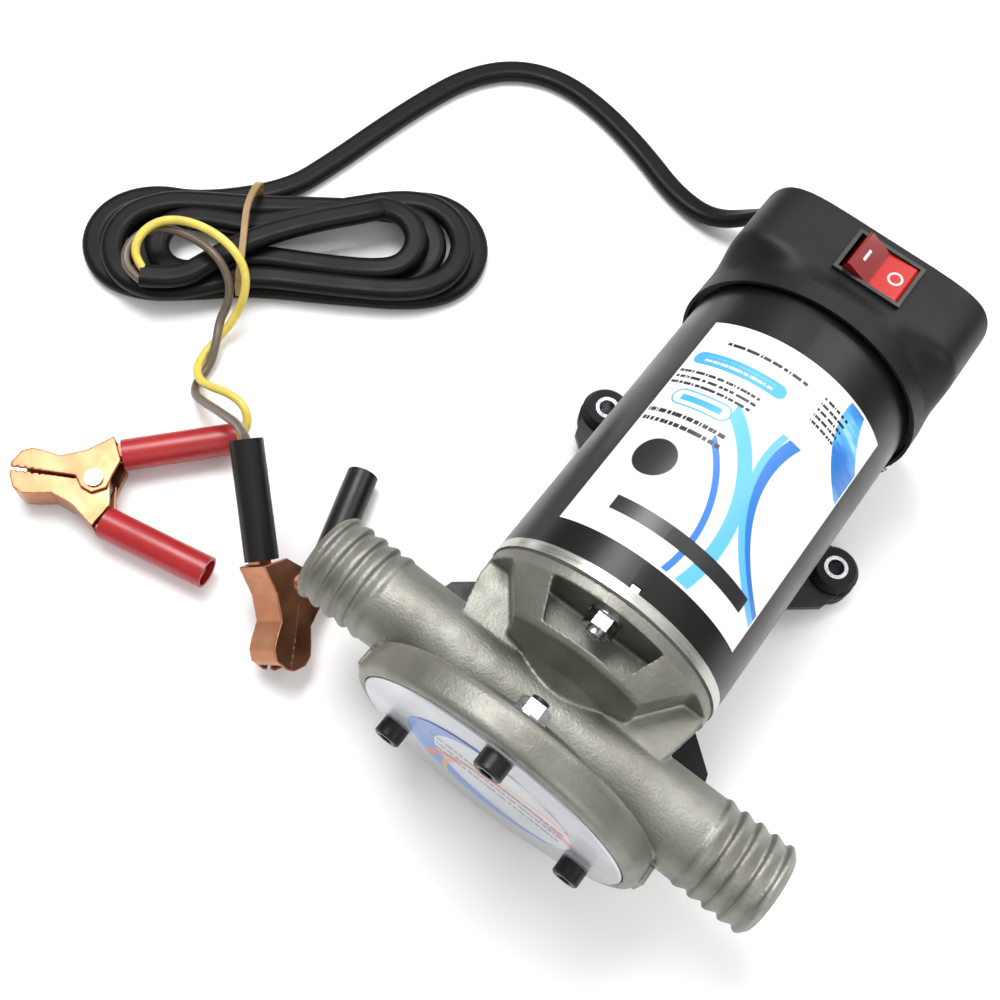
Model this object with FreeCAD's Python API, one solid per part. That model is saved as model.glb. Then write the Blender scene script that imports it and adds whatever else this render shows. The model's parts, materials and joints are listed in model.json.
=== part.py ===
import FreeCAD, Part
import math
import os

# 12 V fluid transfer pump: a cast pump head with two in-line hose barbs, bolted to a round brushed
# motor on a footed bracket, with a rocker switch in the rear cap and a lead to two battery clips.
# Part frame: origin on the resting plane at the centre of the four foot holes, +Z up, +Y along the
# motor axis towards the rear cap, +X along the hose barbs.  All lengths are millimetres.

os.makedirs("parts", exist_ok=True)
V = FreeCAD.Vector
X, Y, Z = V(1, 0, 0), V(0, 1, 0), V(0, 0, 1)

# ---------------------------------------------------------------- driving dimensions
AXIS_H = 48.0            # motor axis above the resting plane
FACE_Y = -84.0           # outer face of the front cover
FOOT_X, FOOT_Y = 92.0, 94.0   # foot hole spacing

COVER_R, COVER_T = 42.8, 3.0
DISC_R = 46.5            # front flange of the pump body
SCREW_PCR = 36.5         # cover screws, pitch circle radius
M5_R, M5_HOLE_R, M5_AF, M5_NUT_T = 2.5, 2.75, 8.0, 4.0
M5_HEAD_R, M5_HEAD_T = 4.2, 5.0

CHAMBER_R, CHAMBER_END = 29.3, 9.5
PIPE_Y, PIPE_R, PORT_R = 22.8, 13.2, 9.7
BARB_CREST_R, BARB_ROOT_R, BARB_END = 13.75, 12.3, 76.5
BARB_CRESTS = (54.4, 59.2, 64.0, 68.8, 73.6)
FLANGE_R, FLANGE_FRONT, FLANGE_REAR = 37.6, 47.5, 51.2
GUSSET_Z, GUSSET_T = 10.5, 5.0  # outer face of the side gussets, and their thickness
BELL_Y, CASE_Y, CASE_END = 51.6, 54.7, 160.0
CASE_R, CASE_IN_R = 38.0, 36.0
SPIGOT_R = 35.9
BOLT_PCR = 30.0          # motor through bolts, above and below the axis
SHAFT_R = 4.0
BEARING_R, BEARING_W = 11.0, 7.0
RUN_GAP = 0.05           # radial clearance of turning fits
CAP_LIP, CAP_REAR, CAP_WALL = 157.7, 193.2, 2.6
CAP_R, CAP_HALF, CAP_TOP, CAP_SQUARENESS = 40.7, 39.5, 37.8, 5.5
CAP_BLEND = ((164.0, 0.0), (165.5, 0.15), (167.5, 0.5), (169.5, 0.85), (171.0, 0.97), (172.4, 1.0))
SWITCH_X, SWITCH_Y = 2.2, 180.8
CORD_R, WIRE_R = 3.5, 1.5

PUMP = V(0, FACE_Y, AXIS_H)   # pump coordinates: y from the cover face, z from the motor axis


# ---------------------------------------------------------------- small tools
def keep(node, shape, offset=PUMP):
    """Write one sub-part, moved from its own coordinates into the part frame."""
    moved = shape.copy()
    moved.translate(offset)
    if not moved.isValid():
        print("INVALID", node)
    moved.exportStep("parts/" + node + ".step")
    print(f"{node:24s} solids {len(moved.Solids):2d}  volume {moved.Volume:10.1f}")


def rod(radius, start, end, x=0.0, z=0.0):
    """Cylinder along Y."""
    return Part.makeCylinder(radius, end - start, V(x, start, z), Y)


def ring(outer, inner, start, end, x=0.0, z=0.0):
    return rod(outer, start, end, x, z).cut(rod(inner, start - 1, end + 1, x, z))


def box(x0, x1, y0, y1, z0, z1):
    return Part.makeBox(x1 - x0, y1 - y0, z1 - z0, V(x0, y0, z0))


def turned(profile, centre=V(0, 0, 0), axis=Y):
    """Revolve (radius, along) pairs about an axis along Y or X."""
    if axis == Y:
        points = [V(r, a, 0) for r, a in profile]
    else:
        points = [V(a, r, 0) for r, a in profile]
    face = Part.Face(Part.makePolygon(points + points[:1]))
    solid = face.revolve(V(0, 0, 0), axis, 360)
    solid.translate(centre)
    return solid


def prism(corners, start, length, along=Z):
    """Extrude a polygon: (x, y) corners along Z, (x, z) along Y, (y, z) along X."""
    make = {2: lambda a, b: V(a, b, start), 1: lambda a, b: V(a, start, b),
            0: lambda a, b: V(start, a, b)}[[X, Y, Z].index(along)]
    points = [make(a, b) for a, b in corners]
    return Part.Face(Part.makePolygon(points + points[:1])).extrude(along * length)


def hexagon(across, start, end, x=0.0, z=0.0):
    """Hexagonal prism along Y with a flat facing outwards from the axis."""
    corner = across / math.sqrt(3)
    lean = math.atan2(x, z)
    corners = [(x + corner * math.sin(lean + math.radians(30 + 60 * k)),
                z + corner * math.cos(lean + math.radians(30 + 60 * k))) for k in range(6)]
    return prism(corners, start, end - start, Y)


def around(radius, degrees):
    """(x, z) of a point at an angle from the top, clockwise seen from the front."""
    a = math.radians(degrees)
    return radius * math.sin(a), radius * math.cos(a)


def fuse(first, *others):
    return first.fuse(list(others)).removeSplitter()


def group(shapes):
    return Part.makeCompound([s for shape in shapes for s in shape.Solids])


def hex_nut(y0, x, z, hole=M5_R):
    return hexagon(M5_AF, y0, y0 + M5_NUT_T, x, z).cut(rod(hole, y0 - 1, y0 + M5_NUT_T + 1, x, z))


def cap_outline(y, share, inset=0.0):
    """Cap outline in the plane y, from the ring's circle (share 0) to the rounded box (share 1)."""
    spots = []
    for k in range(48):
        turn = 2 * math.pi * k / 48
        high = (CAP_TOP if turn < math.pi else CAP_HALF) - inset
        wide = CAP_HALF - inset
        bulge = abs(math.cos(turn) / wide) ** CAP_SQUARENESS + abs(math.sin(turn) / high) ** CAP_SQUARENESS
        reach = share * bulge ** (-1 / CAP_SQUARENESS) + (1 - share) * (CAP_R - inset)
        spots.append(V(reach * math.cos(turn), y, reach * math.sin(turn)))
    curve = Part.BSplineCurve()
    curve.interpolate(spots, PeriodicFlag=True)
    return Part.Wire(curve.toShape())


COVER_SCREWS = [around(SCREW_PCR, a) for a in (0, 120, 240)]
THROUGH_BOLTS = [around(BOLT_PCR, a) for a in (0, 180)]


# ---------------------------------------------------------------- pump head
def barb(side):
    """One ribbed hose tail: each rib has a steep face towards the body and a long slope outwards."""
    profile = [(0, 50.0), (PIPE_R, 50.0), (PIPE_R, BARB_CRESTS[0] - 0.5)]
    for k, crest in enumerate(BARB_CRESTS):
        profile += [(BARB_CREST_R, crest), (BARB_CREST_R, crest + 1.0)]
        last = k == len(BARB_CRESTS) - 1
        profile.append((BARB_ROOT_R, BARB_END - 0.6 if last else BARB_CRESTS[k + 1] - 0.6))
    profile += [(BARB_ROOT_R - 0.6, BARB_END), (0, BARB_END)]
    return turned([(r, side * a) for r, a in profile], V(0, PIPE_Y, 0), X)


def neck():
    """Bell-shaped neck with flat flanks, open windows above and below, and four gussets."""
    bell = turned([(0, 26.0), (12.2, 27.6), (17.0, 32.0), (30.4, 34.6), (31.6, 36.0),
                   (FLANGE_R, FLANGE_FRONT), (FLANGE_R, FLANGE_REAR), (0, FLANGE_REAR)])
    flanks = [(18.0, 26.0), (20.5, 36.0), (29.5, FLANGE_FRONT), (29.5, FLANGE_REAR)]
    bell = bell.common(prism(flanks + [(-x, y) for x, y in reversed(flanks)], -45.0, 90.0))
    window = [(-12.6, 36.8), (12.6, 36.8), (17.4, FLANGE_FRONT), (-17.4, FLANGE_FRONT)]
    bell = bell.cut(Part.makeCompound([prism(window, 20.0, 30.0), prism(window, -50.0, 30.0)]))
    outline = [(15.0, 28.0), (32.0, 28.0), (34.4, 34.0), (36.4, 43.0), (36.4, FLANGE_REAR - 0.5),
               (15.0, FLANGE_REAR - 0.5)]
    gussets = [prism([(side * x, y) for x, y in outline], z, GUSSET_T)
               for side in (1, -1) for z in (GUSSET_Z - GUSSET_T, -GUSSET_Z)]
    return fuse(bell, rod(FLANGE_R, FLANGE_FRONT, FLANGE_REAR), *gussets)


def pump_body():
    disc = turned([(0, 0.5), (44.4, 0.5), (45.9, 1.1), (DISC_R, 2.6), (DISC_R, 8.4), (45.7, 10.2),
                   (44.0, 11.0), (36.0, 12.4), (30.0, 15.0), (0, 15.0)])
    pipe = Part.makeCylinder(PIPE_R, 104.0, V(-52.0, PIPE_Y, 0), X)
    lug = [(-12.0, 3.4), (-9.5, 10.4), (1.5, 10.4), (3.4, 8.4), (3.4, 3.4)]
    lugs = [prism([(y, z) for z, y in lug], x, 9.0, X) for x in (39.0, -48.0)]
    body = fuse(disc, pipe, barb(1), barb(-1), neck(), *lugs)
    cuts = [rod(COVER_R + 0.2, -1.0, COVER_T), rod(CHAMBER_R, 0.0, CHAMBER_END)]
    cuts.append(ring(33.0, 30.8, COVER_T, COVER_T + 1.6))
    channel = ring(27.5, 19.5, CHAMBER_END - 0.5, 12.3)
    cuts.append(channel.common(box(-40, 40, 0, 20, -7.0, 40)))
    for side in (1, -1):
        cuts.append(Part.makeCylinder(PORT_R, 63.0, V(side * 78.0, PIPE_Y, 0), X * -side))
        cuts.append(box(*sorted((side * 19.0, side * 28.0)), 8.0, 20.0, -6.0, 6.0))
    for x, z in COVER_SCREWS:
        cuts += [rod(M5_HOLE_R, 0.0, 20.0, x, z), rod(5.8, 11.0, 16.4, x, z)]
    for x, z in THROUGH_BOLTS:
        cuts.append(rod(M5_HOLE_R, FLANGE_FRONT - 1, FLANGE_REAR + 1, x, z))
    cuts += [rod(SHAFT_R + 0.3, 0.0, 60.0), rod(8.0, 40.0, 60.0)]
    return body.cut(Part.makeCompound(cuts)).removeSplitter()


def front_cover():
    plate = turned([(0, 0), (COVER_R - 0.4, 0), (COVER_R, 0.4), (COVER_R, COVER_T), (0, COVER_T)])
    holes = [rod(M5_HOLE_R, -1, COVER_T + 1, x, z) for x, z in COVER_SCREWS]
    return plate.cut(Part.makeCompound(holes))


def cover_screw(x, z):
    head = turned([(0, -M5_HEAD_T), (M5_HEAD_R - 0.5, -M5_HEAD_T), (M5_HEAD_R, -M5_HEAD_T + 0.5),
                   (M5_HEAD_R, 0), (0, 0)], V(x, 0, z))
    shank = rod(M5_R, -0.5, 17.6, x, z)
    return fuse(head, shank).cut(hexagon(4.0, -M5_HEAD_T - 1, -M5_HEAD_T + 2.6, x, z))


def impeller():
    """Star wheel of a side-channel pump: twelve straight blades on a thin web."""
    wheel = fuse(rod(9.0, 3.6, 9.1), rod(21.5, 5.2, 7.2))
    blades = []
    for k in range(12):
        blade = box(-1.0, 1.0, 3.5, 9.2, 7.0, CHAMBER_R - 0.3)
        blade.rotate(V(0, 0, 0), Y, 15 + 30 * k)
        blades.append(blade.common(rod(CHAMBER_R - 0.3, 0, 20)))
    wheel = fuse(wheel, *blades)
    return wheel.cut(rod(SHAFT_R, 0, 20)).cut(key_block())


def key_block():
    return box(-1.0, 1.0, 4.0, 8.8, SHAFT_R - 1.2, SHAFT_R + 1.2)


def pump_head():
    keep("pump_body", pump_body())
    keep("front_cover", front_cover())
    keep("cover_label", rod(27.5, -0.3, 0))
    keep("cover_oring", Part.makeTorus(31.9, 0.8, V(0, COVER_T + 0.8, 0), Y))
    keep("cover_screws", group([cover_screw(x, z) for x, z in COVER_SCREWS]))
    washers = [rod(5.2, 11.0, 12.0, x, z).cut(rod(2.6, 10, 13, x, z)) for x, z in COVER_SCREWS]
    keep("cover_washers", group(washers))
    keep("cover_nuts", group([hex_nut(12.0, x, z) for x, z in COVER_SCREWS]))
    keep("impeller", impeller())
    keep("impeller_key", key_block())
    keep("shaft_seal", ring(8.0, SHAFT_R + RUN_GAP, 40.0, 46.0))
    gasket = ring(FLANGE_R - 0.2, 12.0, FLANGE_REAR, BELL_Y)
    holes = [rod(M5_HOLE_R, 50, 53, x, z) for x, z in THROUGH_BOLTS]
    keep("flange_gasket", gasket.cut(Part.makeCompound(holes)))


# ---------------------------------------------------------------- motor
def front_bell():
    shell = turned([(7.0, BELL_Y), (CASE_R, BELL_Y), (CASE_R, CASE_Y), (SPIGOT_R, CASE_Y),
                    (SPIGOT_R, 60.0), (33.5, 60.0), (33.5, 55.2), (14.0, 55.2), (14.0, 62.0),
                    (BEARING_R, 62.0), (BEARING_R, 55.0), (7.0, 55.0)])
    tab = box(0.6, 3.2, CASE_Y - 0.5, CASE_Y + 1.5, 35.0, 37.8)
    holes = [rod(M5_HOLE_R, 50, 58, x, z) for x, z in THROUGH_BOLTS]
    return fuse(shell, tab).cut(Part.makeCompound(holes))


def rear_bell():
    shell = turned([(0, CASE_END), (0, 164.5), (CASE_R, 164.5), (CASE_R, CASE_END),
                    (SPIGOT_R, CASE_END), (SPIGOT_R, 149.5), (33.5, 149.5), (33.5, CASE_END),
                    (14.0, CASE_END), (14.0, 151.0), (BEARING_R, 151.0), (BEARING_R, 158.5),
                    (5.0, 158.5), (5.0, CASE_END)])
    holes = [rod(M5_HOLE_R, 155, 168, x, z) for x, z in THROUGH_BOLTS]
    holes += [rod(2.5, 155, 168, x, -22.0) for x in (-10.0, 10.0)]
    return shell.cut(Part.makeCompound(holes))


def bearing_outer(y0):
    race = ring(BEARING_R, 9.1, y0, y0 + BEARING_W)
    return race.cut(Part.makeTorus(7.8, 1.97, V(0, y0 + BEARING_W / 2, 0), Y))


def bearing_inner(y0):
    middle = y0 + BEARING_W / 2
    race = ring(6.5, SHAFT_R, y0, y0 + BEARING_W).cut(Part.makeTorus(7.8, 1.95, V(0, middle, 0), Y))
    spots = [around(7.8, 40 * k) for k in range(9)]
    balls = [Part.makeSphere(1.9, V(x, middle, z)) for x, z in spots]
    return group([race] + balls)


def motor_casing():
    tube = ring(CASE_R, CASE_IN_R, CASE_Y, CASE_END)
    notch = box(0.3, 3.5, CASE_Y - 1, CASE_Y + 1.8, 30, 40)
    holes = [Part.makeCylinder(M5_HOLE_R, 10, V(x, y, -39), Z) for x, y in BRACKET_SCREWS]
    return tube.cut(Part.makeCompound([notch] + holes))


def magnet(side):
    arc = ring(SPIGOT_R, 27.3, 68.0, 126.0)
    reach = 60.0
    wedge = [(0, 0), (side * reach, -reach * 0.8), (side * reach, reach * 0.8)]
    return arc.common(prism(wedge, 60.0, 70.0, Y))


ARMATURE_R, ARMATURE_SLOTS = 26.5, 10


def slot_block(outer, inner, width, start, end, k):
    block = box(-width / 2, width / 2, start, end, inner, outer)
    block.rotate(V(0, 0, 0), Y, 360.0 * k / ARMATURE_SLOTS)
    return block


def armature_core():
    core = ring(ARMATURE_R, 5.0, 74.0, 120.0)
    slots = [slot_block(30.0, 15.0, 5.0, 73, 121, k) for k in range(ARMATURE_SLOTS)]
    return core.cut(Part.makeCompound(slots))


def armature_windings():
    ends = [turned([(6.0, a), (20.0, a), (23.5, a + s * 2.5), (23.5, a + s * 6.0), (18.0, a + s * 8.5),
                    (10.0, a + s * 8.5), (6.0, a + s * 5.0)]) for a, s in ((74.0, -1), (120.0, 1))]
    bars = [slot_block(23.0, 15.2, 4.6, 73.5, 120.5, k) for k in range(ARMATURE_SLOTS)]
    return fuse(*ends, *bars)


def commutator():
    drum = fuse(ring(12.0, 5.0, 130.0, 146.0), ring(13.5, 5.0, 130.0, 132.0))
    slots = [slot_block(15.0, 10.6, 0.6, 129, 147, k + 0.5) for k in range(ARMATURE_SLOTS)]
    return drum.cut(Part.makeCompound(slots))


def motor_shaft():
    ends = [rod(SHAFT_R, 3.5, 158.0), rod(5.0, 63.0, 150.5)]
    return fuse(*ends).cut(key_block())


def brush_holder(side):
    sleeve = box(13.2, 29.5, 132.4, 143.6, -5.0, 5.0).cut(box(13.0, 28.6, 133.6, 142.4, -3.9, 3.9))
    foot = box(15.0, 27.0, 143.6, 147.0, -5.0, 5.0)
    holder = fuse(sleeve, foot)
    return holder if side > 0 else holder.mirror(V(0, 0, 0), X)


def lead(points, radius):
    """Round wire along straight runs joined by tangent arcs; returns the solid and its length."""
    edges, start, radii = [], points[0], []
    for before, corner, after in zip(points, points[1:], points[2:]):
        come, go = corner - before, after - corner
        reach = 0.45 * min(come.Length, go.Length)
        come.normalize()
        go.normalize()
        half = come.getAngle(go) / 2
        bend = reach / math.tan(half)
        inward = go - come
        inward.normalize()
        touch, leave = corner - come * reach, corner + go * reach
        middle = corner + inward * (bend / math.cos(half) - bend)
        edges += [Part.makeLine(start, touch), Part.Arc(touch, middle, leave).toShape()]
        start = leave
        radii.append(bend)
    edges.append(Part.makeLine(start, points[-1]))
    path = Part.Wire(edges)
    aim = points[1] - points[0]
    section = Part.Wire(Part.makeCircle(radius, points[0], aim))
    return path.makePipeShell([section], True, False), path.Length, radii


def brush_spring(side):
    """Helical spring behind a brush, drawn as a wire round the brush axis."""
    turns, steps, coil_r, wire_r = 4, 10, 2.2, 0.35
    points = []
    for k in range(turns * steps + 1):
        turn = 2 * math.pi * k / steps
        points.append(V(side * (22.5 + 5.6 * k / (turns * steps)), 138.0 + coil_r * math.cos(turn),
                        coil_r * math.sin(turn)))
    return lead(points, wire_r)[0]


def motor():
    keep("front_bell", front_bell())
    keep("rear_bell", rear_bell())
    keep("front_bearing_outer", bearing_outer(55.0))
    keep("front_bearing_inner", bearing_inner(55.0))
    keep("rear_bearing_outer", bearing_outer(151.0))
    keep("rear_bearing_inner", bearing_inner(151.0))
    keep("motor_casing", motor_casing())
    keep("field_magnets", group([magnet(1), magnet(-1)]))
    keep("motor_shaft", motor_shaft())
    keep("armature_core", armature_core())
    keep("armature_windings", armature_windings())
    keep("commutator", commutator())
    holes = [rod(M5_HOLE_R + 0.5, 146, 151, x, z) for x, z in THROUGH_BOLTS]
    keep("brush_plate", ring(35.0, 14.0, 147.0, 149.5).cut(Part.makeCompound(holes)))
    keep("brush_holders", group([brush_holder(1), brush_holder(-1)]))
    blocks = [box(*sorted((s * 12.08, s * 22.0)), 134.0, 142.0, -3.5, 3.5) for s in (1, -1)]
    keep("carbon_brushes", group(blocks))
    keep("brush_springs", group([brush_spring(1), brush_spring(-1)]))
    bolts = [fuse(rod(M5_R, 41.0, 165.0, x, z), hexagon(M5_AF, 164.5, 168.5, x, z))
             for x, z in THROUGH_BOLTS]
    keep("through_bolts", group(bolts))
    keep("bolt_nuts", group([hex_nut(42.6, x, z) for x, z in THROUGH_BOLTS]))
    keep("bolt_washers", group([ring(5.0, 2.6, 46.6, FLANGE_FRONT, x, z) for x, z in THROUGH_BOLTS]))
    sheet = ring(CASE_R + 0.15, CASE_R, 63.5, 142.0)
    wedge = [(0, 0), around(90, -44.0), (0, 120), around(90, 56.0)]
    keep("motor_label", sheet.common(prism(wedge, 60.0, 90.0, Y)))


# ---------------------------------------------------------------- rear cap, switch and cord exit
GROMMET_X, GROMMET_Z = -15.0, -3.0


def cap_solid(inset, front, rear):
    """Solid inside the cap's outline: round ring, blend, then rounded box."""
    ring_end, box_start = CAP_BLEND[0][0], CAP_BLEND[-1][0]
    ring_zone = Part.Face(cap_outline(front, 0.0, inset)).extrude(Y * (ring_end - front))
    blend = Part.makeLoft([cap_outline(y, share, inset) for y, share in CAP_BLEND], True, False)
    square = Part.Face(cap_outline(box_start, 1.0, inset)).extrude(Y * (rear - box_start))
    return fuse(ring_zone, blend, square)


def rear_cap():
    cap = cap_solid(0.0, CAP_LIP, CAP_REAR)
    edges = [e for e in cap.Edges if e.BoundBox.YMin > CAP_REAR - 0.1]
    cap = cap.makeFillet(1.6, edges)
    cuts = [cap_solid(CAP_WALL, CAP_LIP - 1, CAP_REAR - CAP_WALL), rod(39.6, CAP_LIP - 1, CAP_LIP + 1.8)]
    cuts.append(box(SWITCH_X - 10.5, SWITCH_X + 10.5, SWITCH_Y - 7.6, SWITCH_Y + 7.6, 30, 45))
    cuts.append(rod(5.2, CAP_REAR - 5, CAP_REAR + 1, GROMMET_X, GROMMET_Z))
    for x, z in CAP_SCREWS:
        cuts.append(Part.makeCylinder(1.6, 10, V(0.85 * x, CAP_SCREW_Y, 0.85 * z), V(x, 0, z)))
    for cut in cuts:
        cap = cap.cut(cut)
    return cap


CAP_SCREW_Y = 161.4
CAP_SCREWS = [around(CAP_R, a) for a in (112, 248)]


def cap_screw(x, z):
    """Self-tapping pan head screw driven radially through the cap ring into the rear bell."""
    out = V(x, 0, z)
    out.normalize()
    seat = V(x, CAP_SCREW_Y, z)
    head = Part.makeCylinder(3.0, 1.8, seat, out)
    shank = Part.makeCylinder(1.4, 7.0, seat - out * 7.0, out)
    slot = Part.makeBox(0.8, 5.0, 1.2, V(-0.4, -2.5, 0))
    slot.Placement = FreeCAD.Placement(seat + out * 0.9, FreeCAD.Rotation(Z, out))
    return fuse(head, shank).cut(slot)


def rocker():
    """Rocker with two inclined faces, drawn level, then tipped so that its +X end is pressed."""
    side = [(-9.3, -2.0), (-9.1, 4.6), (-8.2, 4.9), (0.0, 2.7), (8.2, 4.9), (9.1, 4.6), (9.3, -2.0),
            (5.0, -4.5), (-5.0, -4.5)]
    body = prism(side, -6.9, 13.8, Y)
    pins = Part.makeCylinder(1.4, 14.6, V(0, -7.3, 0), Y)
    body = fuse(body, pins)
    body.rotate(V(0, 0, 0), Y, ROCKER_TILT)
    body.translate(V(SWITCH_X, SWITCH_Y, ROCKER_PIVOT_Z))
    return body


ROCKER_TILT, ROCKER_PIVOT_Z = 11.0, 35.4


def switch_housing():
    def block(half_x, half_y, z0, z1):
        return box(SWITCH_X - half_x, SWITCH_X + half_x, SWITCH_Y - half_y, SWITCH_Y + half_y, z0, z1)
    body = fuse(block(11.2, 8.3, CAP_TOP + 0.03, CAP_TOP + 1.3), block(10.4, 7.5, 22.0, CAP_TOP + 0.5))
    body = body.cut(block(10.0, 7.15, 27.5, 45.0))
    pivots = Part.makeCylinder(1.45, 14.9, V(SWITCH_X, SWITCH_Y - 7.45, ROCKER_PIVOT_Z), Y)
    return body.cut(pivots)


def switch_terminals():
    spots = [SWITCH_X - 7.0, SWITCH_X, SWITCH_X + 7.0]
    return group([box(x - 0.4, x + 0.4, SWITCH_Y - 2.4, SWITCH_Y + 2.4, 13.5, 22.0) for x in spots])


def cable_grommet():
    """Rubber bush: flange inside the rear wall, groove in it, and a short tapered sleeve outside."""
    profile = [(CORD_R, 188.5), (7.5, 188.5), (7.5, 190.58), (5.1, 190.58), (5.1, 193.22), (7.2, 193.22),
               (7.2, 195.0), (5.6, 196.2), (4.9, 203.2), (CORD_R, 203.2)]
    return turned(profile, V(GROMMET_X, 0, GROMMET_Z))


def inner_leads():
    """Wires inside the cap: supply to the switch, switch to motor, and supply return to motor."""
    runs = [[V(-15, 188, -3), V(-16, 182, 0), V(-13, 177, 5), V(-7, 178, 9), V(-4.8, 180.8, 13.4)],
            [V(9.2, 180.8, 13.4), V(11, 177, 6), V(12.5, 172, -6), V(11, 168, -18), V(10, 160, -22)],
            [V(-15, 188, -6.5), V(-17, 181, -10), V(-15, 173, -16), V(-11, 168, -21),
             V(-10, 160, -22)]]
    return group([lead(run, 1.2)[0] for run in runs])


def cap_and_switch():
    keep("rear_cap", rear_cap())
    keep("cap_screws", group([cap_screw(x, z) for x, z in CAP_SCREWS]))
    keep("switch_housing", switch_housing())
    keep("switch_rocker", rocker())
    keep("switch_terminals", switch_terminals())
    keep("cable_grommet", cable_grommet())
    keep("inner_leads", inner_leads())


# ---------------------------------------------------------------- bracket and feet
PLATE_LOW, PLATE_T = 7.0, 2.6           # bracket plate above the resting plane
EAR_R = 7.4
BRACKET_SCREWS = [(x, y) for x in (-11.0, 11.0) for y in (72.0, 122.0)]
FEET = [(sx * FOOT_X / 2, sy * FOOT_Y / 2) for sx in (-1, 1) for sy in (-1, 1)]
FOOT_R, FOOT_H, FOOT_NECK_R, SLEEVE_R, SLEEVE_HOLE_R = 8.7, 13.2, 5.6, 4.0, 2.75


def bracket():
    """Pressed plate with four ears, and two saddle rails that carry the motor casing."""
    half_x, half_y = FOOT_X / 2, FOOT_Y / 2
    middle = prism([(-27, -40), (27, -40), (27, 44), (-27, 44)], PLATE_LOW, PLATE_T)
    parts = []
    for sx in (-1, 1):
        for sy in (-1, 1):
            ear = [(sx * 20, sy * (half_y + 7.2)), (sx * half_x, sy * (half_y + EAR_R)),
                   (sx * (half_x + EAR_R), sy * half_y), (sx * (half_x + 3.5), sy * (half_y - 13)),
                   (sx * 36, sy * (half_y - 24)), (sx * 20, sy * (half_y - 34))]
            parts.append(prism(ear, PLATE_LOW, PLATE_T))
            parts.append(Part.makeCylinder(EAR_R, PLATE_T, V(sx * half_x, sy * half_y, PLATE_LOW)))
    casing = Part.makeCylinder(CASE_R, 200, V(0, -100, AXIS_H), Y)
    for sx in (-1, 1):
        rail = box(*sorted((sx * 5.0, sx * 24.0)), -26.0, 44.0, PLATE_LOW + PLATE_T - 0.5, 20.0)
        parts.append(rail.cut(casing))
    plate = fuse(middle, *parts)
    holes = [Part.makeCylinder(FOOT_NECK_R, 10, V(x, y, 4)) for x, y in FEET]
    holes += [Part.makeCylinder(M5_HOLE_R, 40, V(x, y + FACE_Y, 0)) for x, y in BRACKET_SCREWS]
    return plate.cut(Part.makeCompound(holes)).removeSplitter()


def rubber_foot(x, y):
    top = PLATE_LOW + PLATE_T
    profile = [(SLEEVE_R, 0), (FOOT_R - 0.6, 0), (FOOT_R, 0.8), (FOOT_R, PLATE_LOW - 0.8),
               (FOOT_R - 0.6, PLATE_LOW), (FOOT_NECK_R, PLATE_LOW), (FOOT_NECK_R, top),
               (FOOT_R - 0.6, top), (FOOT_R - 0.4, top + 1.0), (FOOT_R - 2.0, FOOT_H),
               (SLEEVE_R, FOOT_H)]
    foot = turned(profile)
    foot.rotate(V(0, 0, 0), X, 90)
    foot.translate(V(x, y, 0))
    return foot


def foot_sleeve(x, y):
    tube = Part.makeCylinder(SLEEVE_R, FOOT_H, V(x, y, 0))
    return tube.cut(Part.makeCylinder(SLEEVE_HOLE_R, FOOT_H + 2, V(x, y, -1)))


def bracket_screw(x, y):
    y += FACE_Y
    head = Part.makeCylinder(4.4, 3.0, V(x, y, PLATE_LOW - 3.0))
    shank = Part.makeCylinder(M5_R, 13.6, V(x, y, PLATE_LOW - 0.5))
    slot = [Part.makeBox(a, b, 1.6, V(x - a / 2, y - b / 2, PLATE_LOW - 3.4)) for a, b in ((1, 5), (5, 1))]
    return fuse(head, shank).cut(Part.makeCompound(slot))


def bracket_nut(x, y):
    """Square nut inside the casing, its seat curved to the casing wall."""
    y += FACE_Y
    nut = box(x - 4.0, x + 4.0, y - 4.0, y + 4.0, 12.0, 19.5)
    nut = nut.common(Part.makeCylinder(CASE_IN_R, 200, V(0, -100, AXIS_H), Y))
    return nut.cut(Part.makeCylinder(M5_R, 12, V(x, y, 10)))


def base():
    flat = V(0, 0, 0)
    keep("mounting_bracket", bracket(), flat)
    keep("rubber_feet", group([rubber_foot(x, y) for x, y in FEET]), flat)
    keep("foot_sleeves", group([foot_sleeve(x, y) for x, y in FEET]), flat)
    keep("bracket_screws", group([bracket_screw(x, y) for x, y in BRACKET_SCREWS]), flat)
    keep("bracket_nuts", group([bracket_nut(x, y) for x, y in BRACKET_SCREWS]), flat)


# ---------------------------------------------------------------- battery clips
# Clip coordinates: pivot at the origin, x towards the handles, y towards the wired half's handle.
JAW_TIP, HANDLE_END, HANDLE_START = -27.0, (40.5, 23.9), (5.3, 12.0)
OUTER_CHEEK, INNER_CHEEK, SHEET, CHEEK_GAP = 6.4, 5.1, 1.0, 0.25
SLEEVE_OUT_R, SLEEVE_IN_R, PIVOT_R = 5.25, 4.4, 1.6


def clip_frame(pivot, azimuth, pitch, roll):
    """Placement that lays a clip: handles aim at azimuth, raised by pitch, then rolled."""
    turn = FreeCAD.Rotation(Z, azimuth).multiply(FreeCAD.Rotation(Y, -pitch))
    return FreeCAD.Placement(pivot, turn.multiply(FreeCAD.Rotation(X, roll)))


RED_CLIP = clip_frame(V(-159.4, -79.1, 7.5), 30.2, 0.0, 0.0)
BLACK_CLIP = clip_frame(V(-87.7, -67.2, 14.0), 122.4, 11.4, 45.0)


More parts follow.
